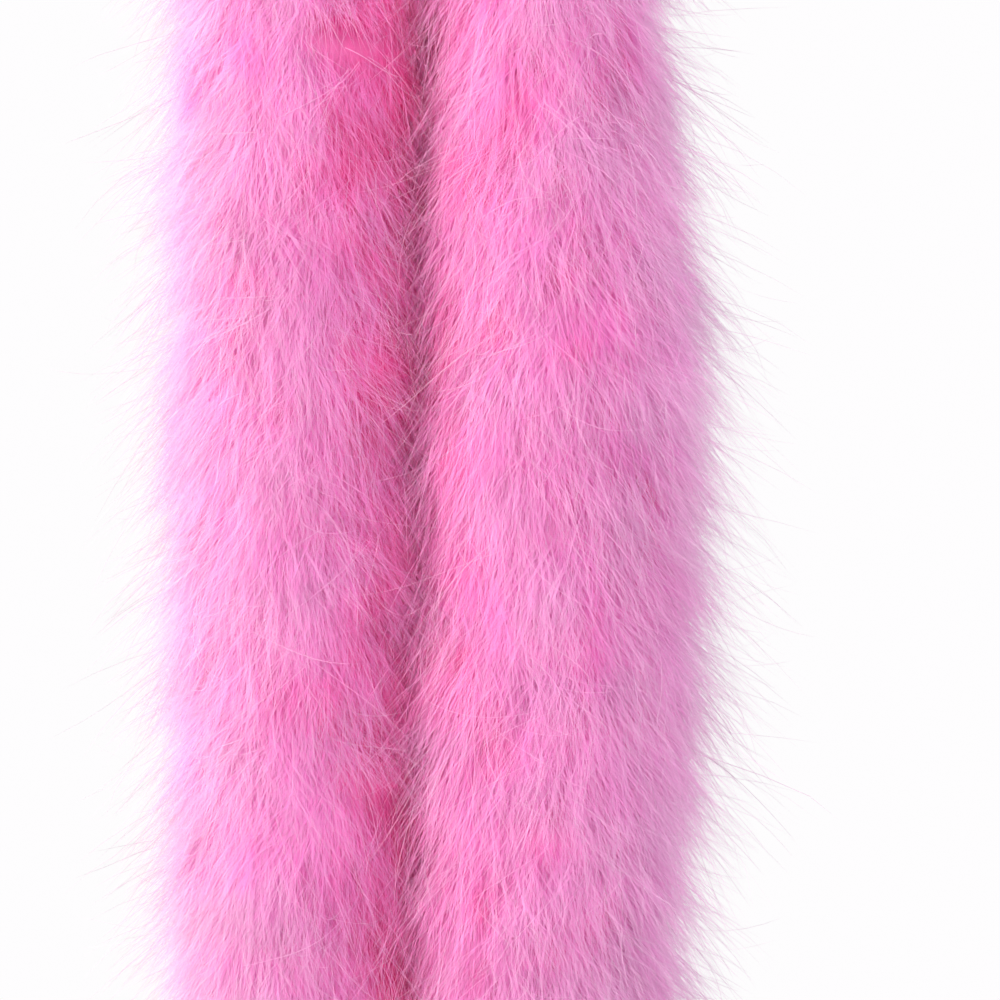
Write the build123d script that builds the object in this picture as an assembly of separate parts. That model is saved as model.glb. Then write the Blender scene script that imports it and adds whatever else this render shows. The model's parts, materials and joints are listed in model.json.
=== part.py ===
from build123d import *
import math
import os

# A marabou feather boa, hanging as it is worn: a loop round the neck and two straight falls in front.
# Frame: +Z up, the wearer faces -Y, and the origin is the centre of the neck opening, level with the
# boa's middle height at the neck. All sizes are millimetres and degrees.

# Core cord: two plies twisted together, drawn as one plain cord of their outer diameter.
core_radius = 2.0
pivot_gap = 0.3

# One plume: a bare quill held by the core, then a leaf-shaped vane of down.
quill_start = 1.6
quill_end = 9.0
quill_width = 1.4
vane_length = 62.0
vane_half_width = 11.0
vane_tip_width = 3.0
plume_thickness = 0.8
plume_droop = 25.0
plumes_in_whorl = 6

# Falls: each hangs straight down from the shoulder loop in sections that bend at their tops.
fall_x = 61.0
fall_y = -98.0
first_pivot_z = -155.7
section_length = 120.0
sections_in_fall = 5
whorls_in_section = 5
pivot_to_whorl = 18.0

# Neck loop: the core's route over the right shoulder, from the nape to the top of the right fall.
neck_radius = 118.0
nape_angles = (14.0, 42.0, 70.0, 98.0)
nape_heights = (36.0, 32.0, 21.0, 1.0)
shoulder_route = ((101.0, -60.0, -25.0), (78.0, -88.0, -66.0), (fall_x, fall_y, -118.0))
corner_share = 0.45
neck_whorls_each_side = 16
neck_groups_each_side = 4

# Binding thread: one tight turn above each whorl, and a whipping at each end of the boa.
thread_clearance = 0.03
thread_thickness = 0.4
thread_turn_length = 2.0
thread_above_whorl = 0.3
whipping_thickness = 1.0
whipping_length = 10.0
whipping_above_end = 2.0

# End knot and the two loose ply ends under it.
knot_radius = 4.2
knot_height = 7.0
knot_rounding = 2.0
tail_radius = 1.0
tail_length = 28.0
tail_spacing = 2.6


def neck_route():
    """The corners of the neck loop's core, from the top of the left fall to the top of the right fall."""
    right = []
    for angle, height in zip(nape_angles, nape_heights):
        turn = math.radians(angle)
        right.append(Vector(neck_radius * math.sin(turn), neck_radius * math.cos(turn), height))
    right += [Vector(*corner) for corner in shoulder_route]
    right.append(Vector(fall_x, fall_y, first_pivot_z + core_radius + pivot_gap))
    left = [Vector(-corner.X, corner.Y, corner.Z) for corner in reversed(right)]
    return left + right


def corner_radii(corners):
    """The largest tangent arc that each inner corner's two runs allow."""
    radii = []
    for before, here, after in zip(corners, corners[1:], corners[2:]):
        into = here - before
        out_of = after - here
        half_turn = math.radians(into.get_angle(out_of)) / 2
        radii.append(corner_share * min(into.length, out_of.length) / math.tan(half_turn))
    return radii


def whorl_plane(place, downstream):
    """A plane across the core at place, with its Z axis pointing back up the core."""
    upstream = -downstream.normalized()
    outward = Vector(place.X, place.Y, 0)
    outward = outward - upstream * outward.dot(upstream)
    return Plane(origin=place, x_dir=outward, z_dir=upstream)


def plume(droop):
    """One plume, lying along +X and drooping towards -Z by an angle."""
    half_quill = quill_width / 2
    half_tip = vane_tip_width / 2
    middle = (quill_end + vane_length) / 2
    edge = Polyline(
        (quill_end, half_quill),
        (quill_start, half_quill),
        (quill_start, -half_quill),
        (quill_end, -half_quill),
    )
    lower = ThreePointArc((quill_end, -half_quill), (middle, -vane_half_width), (vane_length, -half_tip))
    tip = Line((vane_length, -half_tip), (vane_length, half_tip))
    upper = ThreePointArc((vane_length, half_tip), (middle, vane_half_width), (quill_end, half_quill))
    outline = make_face([*edge.edges(), *lower.edges(), *tip.edges(), *upper.edges()])
    blade = extrude(outline, amount=plume_thickness / 2, both=True)
    return Rot(0, droop, 0) * blade


def thread_turn(inner, outer, length):
    """A tight turn of thread round the core, standing on the plane z = 0."""
    ring = Circle(outer) - Circle(inner)
    return extrude(ring, amount=length)


def whorl(plane, stagger, droop=plume_droop):
    """A ring of plumes round the core. Stagger turns every other ring by half a plume."""
    step = 360 / plumes_in_whorl
    blade = plume(droop)
    ring = []
    for number in range(plumes_in_whorl):
        turn = (number + stagger / 2) * step
        ring.append(plane.location * Rot(0, 0, turn) * blade)
    return ring


def binding(plane):
    """The turn of binding thread just above a whorl."""
    inner = core_radius + thread_clearance
    turn = thread_turn(inner, inner + thread_thickness, thread_turn_length)
    return plane.location * Pos(0, 0, thread_above_whorl) * turn


def single_solids(shapes):
    """The separate solids of some shapes."""
    return [solid for shape in shapes for solid in shape.solids()]


def write(node, shapes):
    """Writes a node's solids to its own STEP file."""
    solids = single_solids(shapes)
    shape = solids[0] if len(solids) == 1 else Compound(children=solids)
    shape.label = node
    export_step(shape, f"parts/{node}.step")


def neck_loop():
    """The core, plumes and thread round the neck and over both shoulders."""
    corners = neck_route()
    radii = corner_radii(corners)
    print("neck core arc radii, mm:", [round(radius, 1) for radius in radii])
    route = FilletPolyline(*corners, radius=radii)
    route_wire = Wire(route.edges())
    start = Plane(origin=corners[0], z_dir=corners[1] - corners[0])
    core = sweep(start * Circle(core_radius), path=route_wire)
    expected = math.pi * core_radius**2 * route_wire.length
    print("neck core length, mm:", round(route_wire.length, 1), "volume ratio:", round(core.volume / expected, 4))
    write("core_neck", [core])

    half = route_wire.length / 2
    middle = route_wire.position_at(half, position_mode=PositionMode.LENGTH)
    along_nape = route_wire.tangent_at(half, position_mode=PositionMode.LENGTH)
    write("plumes_nape", whorl(whorl_plane(middle, along_nape), 0, droop=0.0))
    end_margin = pivot_to_whorl - core_radius - pivot_gap
    pitch = (half - end_margin) / (neck_whorls_each_side - 0.5)
    print("neck whorl pitch, mm:", round(pitch, 2))
    for side, sign in (("left", -1), ("right", 1)):
        turns = []
        rings = []
        for number in range(neck_whorls_each_side):
            along = half + sign * (number + 0.5) * pitch
            place = route_wire.position_at(along, position_mode=PositionMode.LENGTH)
            ahead = route_wire.tangent_at(along, position_mode=PositionMode.LENGTH)
            plane = whorl_plane(place, ahead * sign)
            rings.append(whorl(plane, number % 2))
            turns.append(binding(plane))
        per_group = neck_whorls_each_side // neck_groups_each_side
        for group in range(neck_groups_each_side):
            members = rings[group * per_group : (group + 1) * per_group]
            write(f"plumes_neck_{side}_{group + 1}", [blade for ring in members for blade in ring])
        write(f"binding_thread_neck_{side}", turns)
    return route_wire.length


def core_link(x, top, bottom):
    """A straight stretch of core whose rounded top end turns about its pivot."""
    knuckle = Pos(x, fall_y, top) * Sphere(core_radius)
    shank = Pos(x, fall_y, (top + bottom) / 2) * Cylinder(core_radius, top - bottom)
    return knuckle + shank


def section(side, x, number):
    """One bending section of a fall."""
    top = first_pivot_z - (number - 1) * section_length
    bottom = top - section_length
    last = number == sections_in_fall
    link_bottom = bottom if last else bottom + core_radius + pivot_gap
    write(f"core_{side}_{number}", [core_link(x, top, link_bottom)])
    pitch = (section_length - 2 * pivot_to_whorl) / (whorls_in_section - 1)
    blades = []
    turns = []
    for ring in range(whorls_in_section):
        place = Vector(x, fall_y, top - pivot_to_whorl - ring * pitch)
        plane = whorl_plane(place, Vector(0, 0, -1))
        blades += whorl(plane, (ring + number) % 2)
        turns.append(binding(plane))
    write(f"plumes_{side}_{number}", blades)
    write(f"binding_thread_{side}_{number}", turns)
    return bottom


def end_finish(side, x, end_z):
    """The whipping, knot and loose plies that close one end of the boa."""
    inner = core_radius + thread_clearance
    collar = thread_turn(inner, inner + whipping_thickness, whipping_length)
    write(f"end_whipping_{side}", [Pos(x, fall_y, end_z + whipping_above_end) * collar])
    knot = Pos(x, fall_y, end_z - knot_height / 2) * Cylinder(knot_radius, knot_height)
    knot = fillet(knot.edges().filter_by(GeomType.CIRCLE), knot_rounding)
    write(f"end_knot_{side}", [knot])
    middle = end_z - knot_height - tail_length / 2
    tails = []
    for sign in (-1, 1):
        tails.append(Pos(x + sign * tail_spacing / 2, fall_y, middle) * Cylinder(tail_radius, tail_length))
    write(f"cord_tails_{side}", tails)


os.makedirs("parts", exist_ok=True)
neck_length = neck_loop()
for side_name, side_x in (("left", -fall_x), ("right", fall_x)):
    for section_number in range(1, sections_in_fall + 1):
        lowest = section(side_name, side_x, section_number)
    end_finish(side_name, side_x, lowest)
core_total = neck_length + 2 * (sections_in_fall * section_length + core_radius + pivot_gap)
print("boa length, knot to knot, mm:", round(core_total, 1))
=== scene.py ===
import json
import math

import bpy
import numpy as np
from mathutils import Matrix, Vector


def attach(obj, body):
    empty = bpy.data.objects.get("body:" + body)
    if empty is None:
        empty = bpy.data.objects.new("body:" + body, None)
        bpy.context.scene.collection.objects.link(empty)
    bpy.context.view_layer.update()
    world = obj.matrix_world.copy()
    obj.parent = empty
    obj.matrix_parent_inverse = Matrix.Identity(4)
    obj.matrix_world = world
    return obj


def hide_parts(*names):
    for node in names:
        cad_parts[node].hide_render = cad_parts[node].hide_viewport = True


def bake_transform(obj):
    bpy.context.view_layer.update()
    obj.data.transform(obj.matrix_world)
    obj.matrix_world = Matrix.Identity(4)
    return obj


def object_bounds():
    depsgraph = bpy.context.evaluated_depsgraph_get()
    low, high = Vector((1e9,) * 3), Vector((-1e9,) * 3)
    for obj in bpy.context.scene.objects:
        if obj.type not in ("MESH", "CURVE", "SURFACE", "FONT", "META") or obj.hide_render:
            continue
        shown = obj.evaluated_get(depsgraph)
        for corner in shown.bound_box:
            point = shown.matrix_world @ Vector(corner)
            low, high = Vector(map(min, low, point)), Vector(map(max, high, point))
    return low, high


# A pink marabou feather boa. Everything is in metres, in the CAD model's frame: +Z up, -Y to the front.
# Plumes stand round the core cord in a spiral. Each has a shaft and 280 to 400 fine barbs.

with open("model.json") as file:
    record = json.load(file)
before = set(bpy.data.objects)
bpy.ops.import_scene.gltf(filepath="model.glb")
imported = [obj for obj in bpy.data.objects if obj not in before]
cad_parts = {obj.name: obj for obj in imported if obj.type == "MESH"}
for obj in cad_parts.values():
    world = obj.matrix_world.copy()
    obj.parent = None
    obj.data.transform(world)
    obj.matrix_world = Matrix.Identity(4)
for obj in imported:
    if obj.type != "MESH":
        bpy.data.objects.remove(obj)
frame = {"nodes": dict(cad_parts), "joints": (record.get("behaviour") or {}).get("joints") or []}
cad_low, cad_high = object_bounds()
mm = 0.001

SIDES = {"left": -1, "right": 1}
GOLDEN_ANGLE = math.radians(137.508)
PLUME_PITCH = 2.0 * mm
ROOT_RADIUS = 41 * mm
PATCH = 11 * mm
CORE_RADIUS = 2 * mm
WHIPPING, WHIPPING_RADIUS, WHIPPING_PITCH = 12 * mm, 2.4 * mm, 0.45 * mm
NECK_DENSITY = 0.7
NECK_GROUPS = 4

# The barbs of a plume, from the matted ones inside to the few that stray.
# share: barbs for each plume. root: where they start, as a share of ROOT_RADIUS.
# out, loose, lock_out: degrees away from the body, and how much that varies by barb and by lock.
# locks, lock, gather: how many tufts, how wide, and how far their barbs gather at the tip.
# shade: the material's "along" at the root and the tip. roll, own: how a barb turns and how it takes light.
KINDS = (
    {
        "share": 60, "length": 27 * mm, "vary": 0.2, "width": 0.55 * mm, "rings": 4, "roll": 0.6,
        "out": 32, "loose": 7, "fan": 0.28, "bend": 0.25, "curl": 0.12,
        "root": 0.92, "shade": (0.45, 0.8), "own": 0.06,
        "locks": 20, "lock": 5 * mm, "lock_out": 4, "gather": 0.2,
    },
    {
        "share": 255, "length": 33 * mm, "vary": 0.18, "width": 0.27 * mm, "rings": 4, "roll": 1.0,
        "out": 34, "loose": 8, "fan": 0.34, "bend": 0.35, "curl": 0.15,
        "root": 0.93, "shade": (0.45, 0.9), "own": 0.1,
        "locks": 24, "lock": 6 * mm, "lock_out": 3.5, "gather": 0.25,
    },
    {
        "share": 72, "length": 45 * mm, "vary": 0.28, "width": 0.21 * mm, "rings": 5, "roll": 1.5,
        "out": 49, "loose": 12, "fan": 0.40, "bend": 0.65, "curl": 0.25,
        "root": 0.92, "shade": (0.6, 1.0), "own": 0.15,
        "locks": 8, "lock": 4.5 * mm, "lock_out": 11, "gather": 0.75,
    },
    {
        "share": 12, "length": 46 * mm, "vary": 0.28, "width": 0.23 * mm, "rings": 9, "roll": 1.5,
        "out": 40, "loose": 16, "fan": 0.8, "bend": 0.6, "curl": 0.85,
        "root": 1.05, "shade": (1.0, 1.1), "own": 0.15,
        "locks": 4, "lock": 4 * mm, "lock_out": 9, "gather": 0.2,
    },
)

# How full each fall is from its top to its end: height, radius and how far its down leans to the right.
FULLNESS = {
    "left": (
        (-0.10, 54, 1), (-0.184, 54, 2), (-0.30, 55, 1), (-0.45, 56, 1), (-0.634, 54, 2), (-0.76, 54, 1),
    ),
    "right": (
        (-0.12, 53, -7), (-0.184, 54, -9), (-0.274, 63, -4), (-0.364, 67, -2), (-0.454, 66, -5),
        (-0.50, 68, -4), (-0.589, 63, -10), (-0.634, 62, -10), (-0.76, 58, -3),
    ),
}
FULL = 55 * mm
# How much further each fall reaches towards the other, where their down is pressed together.
PRESSED = {"left": 0.30, "right": 0.13}
# Painted shade: how much deeper in colour the down is made there, in the valley between the falls; less on
# the right fall, whose side there faces the key light.
PAINTED_VALLEY_SHADE = {"left": 0.44, "right": 0.28}

# Places where the down parts: height, degrees to the right of straight in front, width and strength.
PARTINGS = {
    "left": ((-0.199, 30, 13, 1.3), (-0.284, 20, 7, 0.5), (-0.297, 42, 9, 0.9), (-0.330, 38, 8, 0.8),
             (-0.447, 38, 8, 0.8), (-0.526, 46, 12, 1.2), (-0.590, 35, 7, 0.7)),
    "right": ((-0.216, -5, 8, 0.6), (-0.262, 4, 8, 0.9), (-0.310, -3, 8, 0.6), (-0.3685, -12, 8, 0.6),
              (-0.4045, 4, 9, 0.6), (-0.465, -5, 8, 0.5), (-0.545, 2, 8, 0.5), (-0.600, -4, 8, 0.6)),
}
NECK_FULL = 0.98
END_ROUNDING, END_MARGIN = 62 * mm, 7 * mm

# How far the down may reach. Past the soft value it bends back, and it never passes the other.
FRONT_SOFT, FRONT_MOST = -0.158, -0.172
BACK_SOFT, BACK_MOST = 0.180, 0.194
SIDE_SOFT, SIDE_MOST = 0.176, 0.190
TOP_SOFT, TOP_MOST = 0.106, 0.125
END_SOFT, END_MOST = -0.805, -0.825
NECK_SOFT, NECK_MOST, NECK_FLOOR = 0.078, 0.062, -0.115


def unit(v):
    return v / np.maximum(np.linalg.norm(v, axis=-1, keepdims=True), 1e-12)


def joint_positions(side):
    """The pivots of one fall, from the top down."""
    found = [j for j in frame["joints"] if j["name"].startswith(side)]
    found.sort(key=lambda j: -j["pos_m"][2])
    return [Vector(j["pos_m"]) for j in found]


SECTIONS = len(joint_positions("right"))
SECTION = (joint_positions("right")[0] - joint_positions("right")[1]).length


def neck_corners():
    """The corners of the core's route from the nape to the top of the right fall, as in the CAD model."""
    radius = 0.118
    angles = (14.0, 42.0, 70.0, 98.0)
    heights = (0.036, 0.032, 0.021, 0.001)
    corners = []
    for angle, height in zip(angles, heights):
        turn = math.radians(angle)
        corners.append(Vector((radius * math.sin(turn), radius * math.cos(turn), height)))
    corners += [Vector((0.101, -0.060, -0.025)), Vector((0.078, -0.088, -0.066))]
    corners.append(Vector((0.061, -0.098, -0.118)))
    corners.append(joint_positions("right")[0])
    return corners


def nurbs_points(corners):
    """Points along the smooth line that these corners control."""
    data = bpy.data.curves.new("route", "CURVE")
    data.dimensions = "3D"
    spline = data.splines.new("NURBS")
    spline.points.add(len(corners) - 1)
    for point, corner in zip(spline.points, corners):
        point.co = (*corner, 1)
    spline.order_u = 3
    spline.use_endpoint_u = True
    spline.resolution_u = 24
    holder = bpy.data.objects.new("route", data)
    bpy.context.scene.collection.objects.link(holder)
    mesh = bpy.data.meshes.new_from_object(holder)
    points = np.array([v.co for v in mesh.vertices], float)
    bpy.data.objects.remove(holder)
    bpy.data.meshes.remove(mesh)
    bpy.data.curves.remove(data)
    return points


FINE_STEPS, SMOOTHING = 1200, 9
FALLS_FROM = 60 * mm
PARTING_DEPTH = 4 * mm
PARTING_PITCH = 28 * mm
NAPE_REACH = 50 * mm


class Line:
    """The core's centreline of one half of the boa, from the nape to its end, by length."""

    def __init__(self, side):
        sign = SIDES[side]
        right = neck_corners()
        whole = [Vector((-c.x, c.y, c.z)) for c in reversed(right)] + right
        neck = nurbs_points(whole)
        neck = neck[neck[:, 0] * sign >= 0]
        if sign < 0:
            neck = neck[::-1]
        start = np.array([0.0, neck[0, 1], neck[0, 2]])
        end = np.array(joint_positions(side)[-1]) - np.array([0, 0, SECTION])
        points = np.vstack([start, neck, end])
        steps = np.linalg.norm(np.diff(points, axis=0), axis=1)
        points = points[np.concatenate([[True], steps > 1e-6])]
        steps = np.linalg.norm(np.diff(points, axis=0), axis=1)
        along = np.concatenate([[0], np.cumsum(steps)])
        self.sign = sign
        self.pressed, self.painted_shading = PRESSED[side], PAINTED_VALLEY_SHADE[side]
        self.phase = 1.7 * sign
        self.total = along[-1]
        self.fine = np.linspace(0, self.total, FINE_STEPS)
        self.points = np.column_stack([np.interp(self.fine, along, points[:, k]) for k in range(3)])
        ahead = np.gradient(self.points, self.fine, axis=0)
        kernel = np.ones(SMOOTHING) / SMOOTHING
        margin = SMOOTHING // 2
        padded = np.pad(ahead, ((margin, margin), (0, 0)), mode="edge")
        ahead = np.column_stack([np.convolve(padded[:, k], kernel, mode="valid") for k in range(3)])
        self.ahead = unit(ahead)
        outward = self.points * [1, 1, 0]
        outward = outward - self.ahead * np.sum(outward * self.ahead, axis=1)[:, None]
        self.outward = unit(outward)
        self.neck_length = self.total - SECTIONS * SECTION
        full = np.array(FULLNESS[side], float)[::-1]
        height = self.points[:, 2]
        self.full = np.interp(height, full[:, 0], full[:, 1]) * mm / FULL
        self.lean = np.interp(height, full[:, 0], full[:, 2]) * mm
        self.partings = self.part(PARTINGS[side])
        on_neck = self.fine < self.neck_length - 50 * mm
        self.full[on_neck] = NECK_FULL
        self.lean[on_neck] = 0
        to_end = self.total + END_MARGIN - self.fine
        self.full *= np.clip(to_end / END_ROUNDING, 0.02, 1) ** 0.5

    def part(self, places):
        """The points of the partings, those that are listed and others round the rest of the boa."""
        found = []
        for height, angle, width, strength in places:
            k = np.argmin(np.abs(self.points[:, 2] - height))
            turn = math.radians(angle)
            out = np.array([math.sin(turn), -math.cos(turn), 0])
            middle = self.points[k] + [self.lean[k], 0, 0]
            found.append((middle + out * ROOT_RADIUS * self.full[k], width * mm, strength))
        rng = np.random.default_rng(5 if self.sign > 0 else 6)
        for s in np.arange(30 * mm, self.total, PARTING_PITCH):
            k = np.argmin(np.abs(self.fine - s))
            turn = rng.uniform(0, 2 * np.pi)
            third = np.cross(self.ahead[k], self.outward[k])
            out = self.outward[k] * math.cos(turn) + third * math.sin(turn)
            width, strength = rng.uniform(10, 16) * mm, rng.uniform(0.12, 0.3)
            if out[1] > -0.35 or self.points[k][2] > -0.15:
                found.append((self.points[k] + out * ROOT_RADIUS, width, strength))
        return found

    def inward(self, s, radial):
        """1 where a fall faces the other one, down to 0 where it faces away, and on the neck."""
        on_fall = np.clip((s - self.neck_length + FALLS_FROM) / (30 * mm), 0, 1)
        return np.clip(-self.sign * radial[..., 0], 0, 1) * on_fall

    def at(self, s, turn, lean=True):
        """The core's place, the radial direction at an angle, the nap's direction and the fullness there."""
        pick = lambda table: np.stack([np.interp(s, self.fine, table[:, k]) for k in range(3)], axis=-1)
        ahead = unit(pick(self.ahead))
        outward = unit(pick(self.outward))
        third = np.cross(ahead, outward)
        radial = outward * np.cos(turn)[..., None] + third * np.sin(turn)[..., None]
        # At the nape the two halves' naps part, so there the barbs go both ways.
        settled = np.clip(s / NAPE_REACH, 0, 1)
        settled = settled + (1 - settled) * np.sin(s * 900 + 7 * turn)
        nap = 0.6 * ahead * settled[..., None] + np.array([0, 0, -0.7])
        nap = unit(nap - radial * np.sum(nap * radial, axis=-1, keepdims=True))
        place = pick(self.points)
        place[..., 0] += np.interp(s, self.fine, self.lean) * lean
        # Three slow waves keep the down from looking like a plain cylinder.
        lumps = 0.035 * np.sin(s * 140 + 2.0 * np.cos(turn))
        lumps = lumps + 0.030 * np.sin(s * 233 + 2 * turn + self.phase)
        lumps += 0.020 * np.sin(s * 61 - turn + 2 * self.phase)
        lumps += self.inward(s, radial) * (self.pressed + 0.14 * np.clip(radial[..., 1], 0, 1))
        return place, radial, nap, (np.interp(s, self.fine, self.full) * (1 + lumps))[..., None]


class MeshMaker:
    """Collects strips and rounds, with the values that their material reads, and makes one mesh."""

    def __init__(self):
        self.points, self.normals, self.flow, self.along, self.tone = [], [], [], [], []
        self.quads, self.tris, self.quad_slots, self.tri_slots = [], [], [], []
        self.count = 0

    def strips(self, centre, width, flat, body, rng, along, tone, slot=0, own=0.2):
        """Flat strips that end in a point: centre and width by strip and ring, tone by strip."""
        strips, rings, _ = centre.shape
        ahead = unit(np.gradient(centre, axis=1))
        out = body[:, None]
        across = unit(np.cross(ahead, out))
        face = np.cross(across, ahead)
        roll = rng.uniform(-flat, flat, strips)[:, None, None]
        side = across * np.cos(roll) + face * np.sin(roll)
        normal = face * np.cos(roll) - across * np.sin(roll)
        normal = unit(out + own * normal)
        half = side * width[..., None] / 2
        left, right = centre - half, centre + half
        pairs = np.stack([left[:, :-1], right[:, :-1]], axis=2).reshape(strips, -1, 3)
        points = np.concatenate([pairs, centre[:, -1:]], axis=1)
        size = 2 * rings - 1
        first = self.count + np.arange(strips)[:, None] * size + np.arange(rings - 2) * 2
        self.quads.append(np.stack([first, first + 1, first + 3, first + 2], axis=-1).reshape(-1, 4))
        last = self.count + np.arange(strips) * size + (rings - 2) * 2
        self.tris.append(np.stack([last, last + 1, last + 2], axis=-1))
        self.quad_slots.append(np.full(strips * (rings - 2), slot))
        self.tri_slots.append(np.full(strips, slot))
        spread = lambda v: np.concatenate([np.repeat(v[:, :-1], 2, axis=1), v[:, -1:]], axis=1)
        self.points.append(points.reshape(-1, 3))
        self.normals.append(spread(normal).reshape(-1, 3))
        self.along.append(spread(along).reshape(-1))
        self.tone.append(np.repeat(tone, size))
        self.flow.append(np.zeros((strips * size, 3)))
        self.count += strips * size

    def rounds(self, points, normals, flow, slot, along, tone):
        """A sheet closed round its middle: points (rings, around, 3)."""
        rings, around, _ = points.shape
        ring = np.arange(rings - 1)[:, None] * around
        here = np.arange(around)[None]
        after = (here + 1) % around
        faces = np.stack([ring + here, ring + after, ring + around + after, ring + around + here], axis=-1)
        self.quads.append(faces.reshape(-1, 4) + self.count)
        self.quad_slots.append(np.full((rings - 1) * around, slot))
        self.points.append(points.reshape(-1, 3))
        self.normals.append(normals.reshape(-1, 3))
        self.flow.append(flow.reshape(-1, 3))
        self.along.append(along)
        self.tone.append(np.full(rings * around, tone))
        self.count += rings * around

    def make(self, name, materials):
        points = np.concatenate(self.points).astype(np.float32)
        quads = np.concatenate(self.quads).astype(np.int32)
        tris = np.concatenate([np.zeros((0, 3), int), *self.tris]).astype(np.int32)
        mesh = bpy.data.meshes.new(name)
        mesh.vertices.add(len(points))
        mesh.vertices.foreach_set("co", points.ravel())
        mesh.loops.add(quads.size + tris.size)
        mesh.loops.foreach_set("vertex_index", np.concatenate([quads.ravel(), tris.ravel()]))
        mesh.polygons.add(len(quads) + len(tris))
        starts = np.concatenate([np.arange(len(quads)) * 4, quads.size + np.arange(len(tris)) * 3])
        mesh.polygons.foreach_set("loop_start", starts.astype(np.int32))
        slots = np.concatenate(self.quad_slots + self.tri_slots)
        mesh.polygons.foreach_set("material_index", slots.astype(np.int32))
        mesh.update(calc_edges=True)
        for label, values in (("along", self.along), ("tone", self.tone)):
            layer = mesh.attributes.new(label, "FLOAT", "POINT")
            layer.data.foreach_set("value", np.concatenate(values).astype(np.float32))
        for label, values in (("custom_normal", self.normals), ("flow", self.flow)):
            layer = mesh.attributes.new(label, "FLOAT_VECTOR", "POINT")
            layer.data.foreach_set("vector", np.concatenate(values).astype(np.float32).ravel())
        for material in materials:
            mesh.materials.append(material)
        piece = bpy.data.objects.new(name, mesh)
        bpy.context.scene.collection.objects.link(piece)
        return piece


def held(value, soft, most):
    """Bends values beyond soft back, so that they stay below most."""
    over = np.maximum(value - soft, 0)
    return value - over + (most - soft) * (1 - np.exp(-over / (most - soft)))


def within(points):
    """Bends barbs that would stand out too far, or into the space for the neck, back towards the boa."""
    y = points[..., 1]
    y = held(y, BACK_SOFT, BACK_MOST)
    points[..., 1] = -held(-y, -FRONT_SOFT, -FRONT_MOST)
    x = points[..., 0]
    points[..., 0] = np.sign(x) * held(np.abs(x), SIDE_SOFT, SIDE_MOST)
    z = held(points[..., 2], TOP_SOFT, TOP_MOST)
    points[..., 2] = -held(-z, -END_SOFT, -END_MOST)
    radius = np.hypot(points[..., 0], points[..., 1])
    kept = -held(-radius, -NECK_SOFT, -NECK_MOST) / np.maximum(radius, 1e-6)
    share = np.clip((points[..., 2] - NECK_FLOOR) / 0.03, 0, 1)[..., None]
    points[..., :2] *= 1 + (kept[..., None] - 1) * share
    return points


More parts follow.
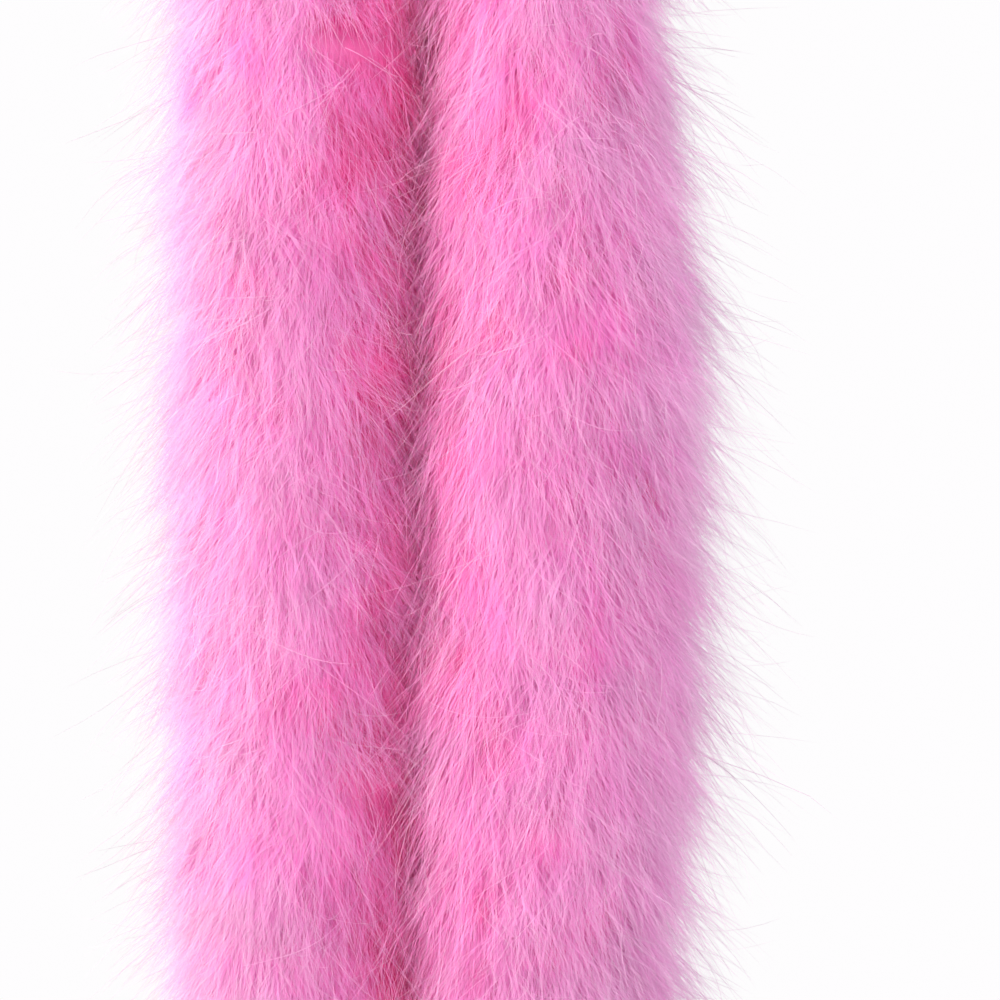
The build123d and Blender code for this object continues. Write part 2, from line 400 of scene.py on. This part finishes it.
def coat(maker, line, plume_s, plume_turn, feel, rng, number, kind):
    """Barbs of many plumes. They fan out from their plume's middle, and those of a lock gather at the tip."""
    plumes = len(plume_s)
    shape = (plumes, number)
    rows = np.arange(plumes)[:, None]
    locks = kind["locks"]
    lock = rng.integers(0, locks, shape)
    pick = lambda spread: rng.normal(0, spread, (plumes, locks))[rows, lock]
    lock_s, lock_b = pick(PATCH), pick(PATCH)
    own_s, own_b = rng.normal(0, kind["lock"], shape), rng.normal(0, kind["lock"], shape)
    s = np.clip(plume_s[:, None] + lock_s + own_s, 0, line.total)
    side_offset = lock_b + own_b
    place, radial, nap, full = line.at(s, plume_turn[:, None] + side_offset / ROOT_RADIUS)
    around = np.cross(nap, radial)
    length = kind["length"] * np.clip(rng.normal(1, kind["vary"], shape), 0.4, 1.7)
    angle = math.radians(kind["out"]) + feel["out"][:, None] + pick(math.radians(kind["lock_out"]))
    angle = angle + rng.normal(0, math.radians(kind["loose"]), shape)
    inward = line.inward(s, radial)
    angle = angle * (1 - 0.35 * inward)
    fan = lock_b / PATCH * kind["fan"] + feel["side"][:, None] + pick(0.16)
    fan = fan - kind["gather"] * own_b / length + rng.normal(0, math.radians(kind["loose"]), shape)
    down = 1 - kind["gather"] * own_s / length
    first = nap * (np.cos(angle) * down)[..., None] + radial * np.sin(angle)[..., None]
    first = unit(first + around * fan[..., None])
    root = place + radial * full * (ROOT_RADIUS * (kind["root"] + rng.uniform(0, 0.14, shape)))[..., None]
    open_up = np.zeros(shape)
    for middle, width, strength in line.partings:
        away = root - middle
        away = away - radial * np.sum(away * radial, axis=-1, keepdims=True)
        far = np.linalg.norm(away, axis=-1)
        if far.min() > 3 * width:
            continue
        near = np.exp(-((np.linalg.norm(root - middle, axis=-1) / width) ** 2))
        first = first + away / (far + 2 * mm)[..., None] * (1.5 * strength * near)[..., None]
        open_up = np.maximum(open_up, near * min(strength, 1))
    first = unit(first - radial * (0.25 * open_up)[..., None])
    root = root - radial * (PARTING_DEPTH * open_up)[..., None]
    length = length * (1 - 0.25 * open_up)
    last = unit(first + nap * kind["bend"] + rng.normal(0, kind["curl"], (*shape, 3)))
    size = (length * full[..., 0] / (1 + inward * line.pressed))[..., None, None]
    rings = kind["rings"]
    t = np.linspace(0, 1, rings)[None, None, :, None]
    wave = rng.normal(0, 0.8 * mm, (*shape, 1, 3)) * np.sin(np.pi * t)
    wave = wave + rng.normal(0, 0.5 * mm, (*shape, 1, 3)) * np.sin(2 * np.pi * t)
    centre = root[:, :, None] + size * (first[:, :, None] * (t - t * t / 2) + last[:, :, None] * t * t / 2)
    centre = within((centre + wave).reshape(-1, rings, 3))
    share = np.linspace(0, 1, rings)
    thick = kind["width"] * rng.uniform(0.7, 1.3, (plumes * number, 1)) * (1 - 0.65 * share**1.4)
    tone = feel["tone"][:, None] + pick(0.04) + rng.normal(0, 0.03, shape)
    low, high = kind["shade"]
    # Painted light in the barbs' colour: deeper, as painted shade, in the partings and in the valley between
    # the falls, and paler, as a painted sheen, on each fall's outer flank.
    outer = np.clip(line.sign * radial[..., 0], 0, 1)
    painted_shading = 0.30 * open_up + line.painted_shading * inward**1.5 - 0.12 * outer
    along = low + (high - low) * share - painted_shading.reshape(-1, 1)
    body = radial.reshape(-1, 3)
    maker.strips(centre, thick, kind["roll"], body, rng, along, tone.ravel(), own=kind["own"])


BED_SIDES, BED_STEP, BED_FULL = 72, 3 * mm, 1.05


def bed(maker, line, low, high):
    """The matted down near the core, which closes the view between the outer barbs."""
    rings = max(3, int(round((high - low) / BED_STEP)) + 1)
    turns = np.linspace(0, 2 * np.pi, BED_SIDES, endpoint=False)
    s, turn = np.meshgrid(np.linspace(low, high, rings), turns, indexing="ij")
    place, radial, nap, full = line.at(s, turn)
    bump = 0.012 * np.sin(s * 310 + 3 * np.sin(turn * 2) + 5 * np.cos(turn))
    closed_end = np.where(s > line.total - 0.1 * mm, 0.05, 1)
    radius = ROOT_RADIUS * BED_FULL * (1 + bump) * closed_end
    points = within(place + radial * full * radius[..., None])
    open_up = np.zeros(s.shape)
    for middle, width, strength in line.partings:
        near = np.exp(-((np.linalg.norm(points - middle, axis=-1) / width) ** 2))
        open_up = np.maximum(open_up, near * min(strength, 1))
    points = points - radial * (PARTING_DEPTH * 1.25 * open_up)[..., None]
    flow = np.stack([np.cos(turn) * ROOT_RADIUS, np.sin(turn) * ROOT_RADIUS, s], axis=-1)
    # Painted shade: the bed is deeper in colour in the partings and in the valley between the falls.
    painted_shading = 0.45 * open_up + line.painted_shading * line.inward(s, radial) ** 1.5
    maker.rounds(points, radial, flow, 1, 0.55 - painted_shading.ravel(), 0.5)


SHAFT_RINGS, QUILL, SHAFT_TIP, SHAFT_DROP = 7, 0.9 * mm, 0.15 * mm, 14 * mm


def shafts(maker, line, s, turn, rng):
    """The shaft of each plume, from its quill at the core to the middle of its patch of barbs."""
    t = np.linspace(0, 1, SHAFT_RINGS)[None, :]
    place, radial, nap, full = line.at(s, turn)
    core = line.at(s, turn, lean=False)[0]
    root = core[:, None] + radial[:, None] * CORE_RADIUS
    tip = place[:, None] + radial[:, None] * full[:, None] * ROOT_RADIUS * 0.95
    drop = nap[:, None] * (SHAFT_DROP * t**1.8)[..., None]
    centre = within(root + (tip - root) * (1 - (1 - t) ** 1.5)[..., None] + drop)
    width = np.broadcast_to(np.linspace(QUILL, SHAFT_TIP, SHAFT_RINGS), (len(s), SHAFT_RINGS))
    along = np.broadcast_to(0.4 + 0.4 * t, (len(s), SHAFT_RINGS))
    maker.strips(centre, width, 1.5, radial, rng, along, np.full(len(s), 0.8))


def plumes(name, line, low, high, seed, materials, density=1.0):
    """All the plumes rooted between two lengths of a line."""
    rng = np.random.default_rng(seed)
    numbers = np.arange(math.ceil(low / PLUME_PITCH), math.ceil(high / PLUME_PITCH))
    s = (numbers + rng.uniform(-0.4, 0.4, len(numbers))) * PLUME_PITCH
    turn = numbers * GOLDEN_ANGLE + rng.normal(0, 0.2, len(numbers))
    count = len(numbers)
    feel = {
        "out": rng.normal(0, math.radians(7), count),
        "side": rng.normal(0, 0.16, count),
        "tone": rng.normal(0.5, 0.07, count),
    }
    maker = MeshMaker()
    shafts(maker, line, s, turn, rng)
    for kind in KINDS:
        coat(maker, line, s, turn, feel, rng, max(2, int(kind["share"] * density)), kind)
    bed(maker, line, low, high)
    return maker.make(name, materials)


def tube(maker, centre, radius, around=6, slot=0, tone=0.5):
    """A round tube along one line of points, with its ends narrowed to a tenth of its radius."""
    rings = len(centre)
    ahead = unit(np.gradient(centre, axis=0))
    helper = np.where(np.abs(ahead[:, 1:2]) < 0.9, [[0.0, 1.0, 0.0]], [[1.0, 0.0, 0.0]])
    side = unit(np.cross(ahead, helper))
    other = np.cross(ahead, side)
    turn = np.linspace(0, 2 * np.pi, around, endpoint=False)
    out = side[:, None] * np.cos(turn)[None, :, None] + other[:, None] * np.sin(turn)[None, :, None]
    thick = np.broadcast_to(radius, (rings,)).copy()
    thick[[0, -1]] *= 0.1
    points = centre[:, None] + out * thick[:, None, None]
    length = np.concatenate([[0], np.cumsum(np.linalg.norm(np.diff(centre, axis=0), axis=1))])
    angle = np.broadcast_to(turn, (rings, around))
    lengths = np.broadcast_to(length[:, None], angle.shape)
    flow = np.stack([np.cos(angle) * radius, np.sin(angle) * radius, lengths], axis=-1)
    maker.rounds(points, out, flow, slot, np.full(rings * around, 0.5), tone)


def helix(line, low, high, radius, pitch, phase, step):
    """Points that wind round the core between two lengths."""
    s = np.linspace(low, high, max(8, int((high - low) / step)))
    place, radial, nap, full = line.at(s, 2 * np.pi * s / pitch + phase, lean=False)
    return place + radial * radius


PLY_RADIUS, PLY_OFFSET, PLY_PITCH = 1.05 * mm, 0.95 * mm, 9 * mm
THREAD_RADIUS, THREAD_SIDES = 0.2 * mm, 4


def core_cord(name, line, low, high):
    """Two cotton plies twisted together."""
    maker = MeshMaker()
    for phase in (0, np.pi):
        tube(maker, helix(line, low, high, PLY_OFFSET, PLY_PITCH, phase, PLY_PITCH / 10), PLY_RADIUS, 8)
    return maker.make(name, [CORD])


def binding(name, line, low, high, radius=2.15 * mm, pitch=2.4 * mm):
    """Sewing thread wound round the core and the quills."""
    maker = MeshMaker()
    tube(maker, helix(line, low, high, radius, pitch, 0.6, pitch / 10), THREAD_RADIUS, THREAD_SIDES)
    return maker.make(name, [THREAD])


KNOT_RADIUS, KNOT_HEIGHT = 1.9 * mm, 2.4 * mm


def end_knot(name, line):
    """The plies tied in an overhand knot under the whipping."""
    centre = line.points[-1] + [0, 0, -4 * mm]
    t = np.linspace(0, 2 * np.pi, 90)
    wide = KNOT_RADIUS * (1 + 0.5 * np.cos(3 * t))
    points = np.stack([wide * np.cos(2 * t), wide * np.sin(2 * t), KNOT_HEIGHT * np.sin(3 * t)], axis=1)
    maker = MeshMaker()
    tube(maker, centre + points, 1.15 * mm, 10)
    return maker.make(name, [CORD])


TAIL_LENGTH, TAIL_STEPS, TAIL_STRANDS, TAIL_FIBRES = 26 * mm, 24, 3, 14


def tails(name, line, seed):
    """The two loose ply ends under the knot, each with its fibres spread at the tip."""
    rng = np.random.default_rng(seed)
    maker = MeshMaker()
    top = line.points[-1] + [0, 0, -7 * mm]
    t = np.linspace(0, 1, TAIL_STEPS)
    for sign in (-1, 1):
        spread = sign * (1.3 + 2.2 * np.sin(t * 2.2)) * mm
        run = top + np.stack([spread, 1.2 * mm * np.sin(4 * t + sign), -TAIL_LENGTH * t], axis=1)
        for strand in range(TAIL_STRANDS):
            turn = 2 * np.pi * (5 * t + strand / TAIL_STRANDS)
            twist = np.stack([np.cos(turn), np.sin(turn), np.zeros(TAIL_STEPS)], axis=1) * 0.5 * mm
            tube(maker, run + twist, 0.55 * mm, 6)
        for fibre in range(TAIL_FIBRES):
            away = rng.normal(0, 1, 3) * [1.6, 1.6, 0.5] * mm + [0, 0, -6 * mm]
            reach = np.linspace(0, 1, 6)[:, None]
            path = run[-1] + [0, 0, 1 * mm] + away * reach + rng.normal(0, 0.15 * mm, (6, 3))
            tube(maker, path, 0.12 * mm, 4)
    return maker.make(name, [CORD])


def new_tree(name):
    """A new material, its nodes and its links."""
    material = bpy.data.materials.new(name)
    material.use_nodes = True
    return material, material.node_tree.nodes, material.node_tree.links


def attribute(nodes, name):
    node = nodes.new("ShaderNodeAttribute")
    node.attribute_name = name
    return node


def stretched(nodes, links, vector, scale):
    """A vector with each part multiplied."""
    node = nodes.new("ShaderNodeVectorMath")
    node.operation = "MULTIPLY"
    node.inputs[1].default_value = scale
    links.new(vector, node.inputs[0])
    return node.outputs[0]


def noise(nodes, links, vector, scale, detail, distortion=0.0):
    node = nodes.new("ShaderNodeTexNoise")
    node.inputs["Scale"].default_value = scale
    node.inputs["Detail"].default_value = detail
    node.inputs["Distortion"].default_value = distortion
    links.new(vector, node.inputs["Vector"])
    return node.outputs["Fac"]


def spread(nodes, links, value, source, target):
    """Maps a value from one range to another and clamps it."""
    node = nodes.new("ShaderNodeMapRange")
    node.inputs["From Min"].default_value, node.inputs["From Max"].default_value = source
    node.inputs["To Min"].default_value, node.inputs["To Max"].default_value = target
    links.new(value, node.inputs["Value"])
    return node.outputs["Result"]


def ramp(nodes, links, value, stops):
    """Colours by position; stops go up."""
    node = nodes.new("ShaderNodeValToRGB")
    first, last = node.color_ramp.elements
    first.position, first.color = stops[0][0], (*stops[0][1], 1)
    last.position, last.color = stops[-1][0], (*stops[-1][1], 1)
    for position, colour in stops[1:-1]:
        node.color_ramp.elements.new(position).color = (*colour, 1)
    links.new(value, node.inputs["Fac"])
    return node.outputs["Color"]


def sums(nodes, links, operation, first, second):
    """A math node on two values, of which the second may be a number."""
    node = nodes.new("ShaderNodeMath")
    node.operation = operation
    links.new(first, node.inputs[0])
    if isinstance(second, float):
        node.inputs[1].default_value = second
    else:
        links.new(second, node.inputs[1])
    return node.outputs[0]


def bumped(nodes, links, height, strength, distance, solid):
    node = nodes.new("ShaderNodeBump")
    node.inputs["Strength"].default_value = strength
    node.inputs["Distance"].default_value = distance
    links.new(height, node.inputs["Height"])
    links.new(node.outputs["Normal"], solid.inputs["Normal"])


def fibre_material(name, dark, light, scale, twist):
    """Dyed cotton: fine fibres along a ply, with a soft nap."""
    material, nodes, links = new_tree(name)
    solid = nodes["Principled BSDF"]
    flow = stretched(nodes, links, attribute(nodes, "flow").outputs["Vector"], (1, 1, twist))
    fibre = noise(nodes, links, flow, scale, 4.0)
    links.new(ramp(nodes, links, fibre, ((0.3, dark), (0.7, light))), solid.inputs["Base Color"])
    links.new(spread(nodes, links, fibre, (0.0, 1.0), (0.65, 0.9)), solid.inputs["Roughness"])
    bumped(nodes, links, fibre, 0.6, 0.2 * mm, solid)
    solid.inputs["Sheen Weight"].default_value = 0.3
    return material


def down_material(name, deep, middle, pale, matted=False):
    """Dyed down: saturated at the root of a barb, pale at its tip, and some light goes through it."""
    material, nodes, links = new_tree(name)
    nodes.clear()
    tone = attribute(nodes, "tone").outputs["Fac"]
    place = nodes.new("ShaderNodeNewGeometry").outputs["Position"]
    patches = noise(nodes, links, stretched(nodes, links, place, (1, 1, 0.5)), 42.0, 2.0)
    deeper = spread(nodes, links, patches, (0.50, 0.72), (0.0, 0.26))
    # The along value runs from a barb's root to its tip, and also carries the painted shade and the painted
    # flank sheen set in coat() and bed().
    depth = sums(nodes, links, "SUBTRACT", attribute(nodes, "along").outputs["Fac"], deeper)
    colour = ramp(nodes, links, depth, ((0.05, deep), (0.5, middle), (0.95, pale)))
    solid = nodes.new("ShaderNodeBsdfPrincipled")
    solid.inputs["Roughness"].default_value = 0.62
    solid.inputs["Specular IOR Level"].default_value = 0.2
    solid.inputs["Sheen Weight"].default_value = 0.6
    solid.inputs["Sheen Roughness"].default_value = 0.42
    solid.inputs["Sheen Tint"].default_value = (1.0, 0.93, 0.97, 1)
    if matted:
        flow = stretched(nodes, links, attribute(nodes, "flow").outputs["Vector"], (1, 1, 0.09))
        fibre = noise(nodes, links, flow, 1100.0, 3.0, 0.6)
        tone = sums(nodes, links, "ADD", sums(nodes, links, "MULTIPLY", fibre, 1.1), tone)
        tone = sums(nodes, links, "SUBTRACT", tone, 0.55)
        bumped(nodes, links, fibre, 0.5, 0.8 * mm, solid)
    blend = sums(nodes, links, "ADD", noise(nodes, links, place, 38.0, 3.0), tone)
    shade = nodes.new("ShaderNodeHueSaturation")
    links.new(colour, shade.inputs["Color"])
    links.new(spread(nodes, links, blend, (0.6, 1.4), (0.90, 1.08)), shade.inputs["Value"])
    links.new(shade.outputs["Color"], solid.inputs["Base Color"])
    through = nodes.new("ShaderNodeBsdfTranslucent")
    links.new(shade.outputs["Color"], through.inputs["Color"])
    mix = nodes.new("ShaderNodeMixShader")
    mix.inputs["Fac"].default_value = 0.66
    links.new(solid.outputs[0], mix.inputs[1])
    links.new(through.outputs[0], mix.inputs[2])
    links.new(mix.outputs[0], nodes.new("ShaderNodeOutputMaterial").inputs["Surface"])
    return material


CAMERA_DISTANCE, FRAME_WIDTH = 2.0, 0.450
FRAME_SIDE, FRAME_HEIGHT = 0.034, -0.409


def camera():
    """Level, straight in front, on the stretch of the falls that the photograph frames."""
    data = bpy.data.cameras.new("camera")
    data.sensor_width = 36
    data.lens = data.sensor_width * CAMERA_DISTANCE / FRAME_WIDTH
    eye = bpy.data.objects.new("camera", data)
    bpy.context.scene.collection.objects.link(eye)
    fall_y = joint_positions("right")[0].y
    eye.location = (FRAME_SIDE, fall_y - CAMERA_DISTANCE, FRAME_HEIGHT)
    eye.rotation_euler = (math.radians(90), 0, 0)
    data.clip_end = 50
    bpy.context.scene.camera = eye


def area_light(name, place, target, size, power, colour=(1, 1, 1)):
    data = bpy.data.lights.new(name, "AREA")
    data.shape = "DISK"
    data.size = size
    data.energy = power
    data.color = colour
    lamp = bpy.data.objects.new(name, data)
    bpy.context.scene.collection.objects.link(lamp)
    lamp.location = place
    lamp.rotation_euler = (Vector(target) - Vector(place)).to_track_quat("-Z", "Y").to_euler()


FLOOR_GAP = 50 * mm


def studio():
    """A pale floor in a white room, and soft light that is stronger from the left."""
    world = bpy.data.worlds.new("studio")
    world.use_nodes = True
    nodes, links = world.node_tree.nodes, world.node_tree.links
    nodes["Background"].inputs["Color"].default_value = (1.0, 0.99, 1.0, 1)
    # The room looks white, and lights the boa less than that.
    room = nodes.new("ShaderNodeMath")
    room.operation = "MULTIPLY_ADD"
    room.inputs[1].default_value = 0.53
    room.inputs[2].default_value = 0.46
    seen = nodes.new("ShaderNodeLightPath")
    links.new(seen.outputs["Is Camera Ray"], room.inputs[0])
    links.new(room.outputs[0], nodes["Background"].inputs["Strength"])
    bpy.context.scene.world = world
    bpy.context.scene.view_settings.view_transform = "Standard"
    target = (0, -0.09, -0.4)
    area_light("key", (-2.2, -1.7, 0.1), target, 2.4, 156, (1.0, 0.99, 0.86))
    area_light("rim", (-2.4, 0.3, -0.3), target, 1.8, 8, (1.0, 1.0, 0.85))
    area_light("fill", (1.9, -1.7, 0.0), target, 2.4, 60, (1.0, 0.97, 1.0))
    level = cad_low.z - FLOOR_GAP
    near, far, half = -4.0, 1.5, 4.0
    points = [(-half, near, level), (half, near, level), (half, far, level), (-half, far, level)]
    mesh = bpy.data.meshes.new("studio_floor")
    mesh.from_pydata(points, [], [(0, 1, 2, 3)])
    floor = bpy.data.objects.new("studio_floor", mesh)
    bpy.context.scene.collection.objects.link(floor)
    material = bpy.data.materials.new("studio_floor")
    material.use_nodes = True
    solid = material.node_tree.nodes["Principled BSDF"]
    solid.inputs["Base Color"].default_value = (0.74, 0.74, 0.74, 1)
    solid.inputs["Roughness"].default_value = 0.8
    mesh.materials.append(material)


def placed(piece, bodies, nodes, pivot=None):
    """Rides a piece on its last body, or, given a pivot, keeps it fixed in place, and hides the CAD nodes
    that it stands for.
    """
    if pivot is None:
        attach(piece, bodies[-1])
    else:
        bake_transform(piece)
    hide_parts(*nodes)


def stretch(place, line, low, high, seed, bodies, nodes, pivot=None):
    """The down, core cord and binding thread between two lengths. nodes are the CAD nodes of each."""
    down_nodes, core_nodes, thread_nodes = nodes
    piece = plumes(f"down_{place}", line, low, high, seed, [BARB, BED])
    placed(piece, bodies, down_nodes, pivot)
    placed(core_cord(f"cord_{place}", line, low, high), bodies, core_nodes, pivot)
    thread = binding(f"thread_{place}", line, low, min(high, line.total - WHIPPING))
    placed(thread, bodies, thread_nodes, pivot)


def neck_half(side, line, seed, neck_end):
    """The neck's down in groups, with one cord and one thread through them."""
    nape = [node for node in frame["nodes"] if node.startswith("plumes_nape")]
    for group in range(NECK_GROUPS):
        low, high = neck_end * group / NECK_GROUPS, neck_end * (group + 1) / NECK_GROUPS
        name = f"down_neck_{side}_{group + 1}"
        piece = plumes(name, line, low, high, seed * 100 + group, [BARB, BED], NECK_DENSITY)
        stands_for = [f"plumes_neck_{side}_{group + 1}"]
        if side == "left" and group == 0:
            stands_for += nape
        placed(piece, ["neck_loop"], stands_for)
    placed(core_cord(f"cord_neck_{side}", line, 0, neck_end), ["neck_loop"], ["core_neck"])
    thread = binding(f"thread_neck_{side}", line, 0, neck_end)
    placed(thread, ["neck_loop"], [f"binding_thread_neck_{side}"])


def fall(side, line, seed, neck_end):
    """One fall: a stretch for each joint, and the last half section with the finished end."""
    parent = "neck_loop"
    for number, pivot in enumerate(joint_positions(side), 1):
        low = neck_end + (number - 1) * SECTION
        bodies = [parent, f"fall_{side}_{number}"]
        place = f"{side}_{number}"
        nodes = [f"plumes_{place}"], [f"core_{place}"], [f"binding_thread_{place}"]
        stretch(place, line, low, low + SECTION, seed * 100 + 50 + number, bodies, nodes, pivot)
        parent = bodies[1]
    end = [parent]
    stretch(f"{side}_end", line, low + SECTION, line.total, seed * 100 + 60, end, nodes)
    top, bottom = line.total - WHIPPING, line.total - 2 * mm
    whipping = binding(f"whipping_{side}", line, top, bottom, WHIPPING_RADIUS, WHIPPING_PITCH)
    placed(whipping, end, [f"end_whipping_{side}"])
    placed(end_knot(f"knot_{side}", line), end, [f"end_knot_{side}"])
    placed(tails(f"tails_{side}", line, seed), end, [f"cord_tails_{side}"])


camera()
studio()
BARB = down_material("marabou_barbs", (0.95, 0.15, 0.50), (0.97, 0.45, 0.84), (0.98, 0.72, 0.93))
BED = down_material("marabou_bed", (0.94, 0.12, 0.46), (0.97, 0.38, 0.77), (0.97, 0.54, 0.83), matted=True)
CORD = fibre_material("cotton_plies", (0.70, 0.16, 0.38), (0.92, 0.42, 0.64), 5200.0, 0.12)
THREAD = fibre_material("binding_thread", (0.78, 0.22, 0.46), (0.95, 0.50, 0.70), 9000.0, 0.2)

SEEDS = {"left": 11, "right": 29}
for side in SIDES:
    line = Line(side)
    neck_end = line.neck_length - SECTION / 2
    neck_half(side, line, SEEDS[side], neck_end)
    fall(side, line, SEEDS[side], neck_end)
